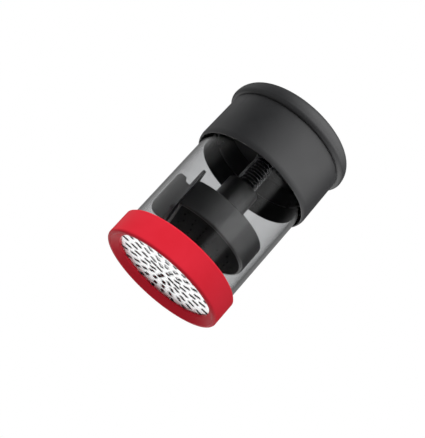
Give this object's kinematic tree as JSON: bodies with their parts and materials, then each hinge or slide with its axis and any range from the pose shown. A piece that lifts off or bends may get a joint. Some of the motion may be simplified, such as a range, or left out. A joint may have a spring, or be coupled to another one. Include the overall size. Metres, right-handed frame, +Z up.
{
  "type": "nutmeg mill",
  "caption": "Hand-held nutmeg mill: a clear tube on a red ring with a round grater plate, and a turning black cap with a sprung press that sweeps nutmegs over the teeth.",
  "frame": {"origin": "centre of the red ring's foot, on the turning axis", "axes": "+Z up along the turning axis towards the cap, -X towards the press's flat side"},
  "size_m": [0.0816, 0.0816, 0.1265],
  "materials": {
    "red_plastic": "glossy",
    "clear_plastic": "clear with a faint smoke tint, polished",
    "black_plastic": "fine matt grain",
    "steel": "brushed",
    "rubber": "matt",
    "white_plastic": "satin",
    "black_steel": "blackened, satin"
  },
  "bodies": {
    "mill": {"base_ring": "red_plastic", "grater_plate": "steel", "plate_seal": "rubber", "clear_tube": "clear_plastic"},
    "collar": {"snap_collar": "black_plastic", "collar_oring": "rubber"},
    "cap": {"cap_shell": "black_plastic", "cap_cover": "black_plastic", "thrust_washer": "white_plastic", "retaining_ring": "black_steel", "spindle": "steel", "spindle_washer": "steel", "spindle_screw": "steel", "stop_washer": "steel", "stop_screw": "steel", "press_spring": "black_steel"},
    "press": {"press_body": "black_plastic", "guide_bush": "white_plastic", "grip_plate": "black_steel", "grip_screws": "black_steel", "sweep_vane": "black_plastic", "vane_screws": "steel"}
  },
  "joints": [
    {"name": "cap_lift", "type": "slide", "parent": "mill", "child": "collar", "axis": [0, 0, 1], "range_m": [0, 0.085]},
    {"name": "cap_turn", "type": "hinge", "parent": "collar", "child": "cap", "pos_m": [0, 0, 0.1], "axis": [0, 0, 1], "continuous": true},
    {"name": "press_slide", "type": "slide", "parent": "cap", "child": "press", "axis": [0, 0, 1], "range_m": [-0.02, 0.006], "stiffness_N_per_m": 250, "springref_m": -0.03, "deforming": ["press_spring"]}
  ]
}
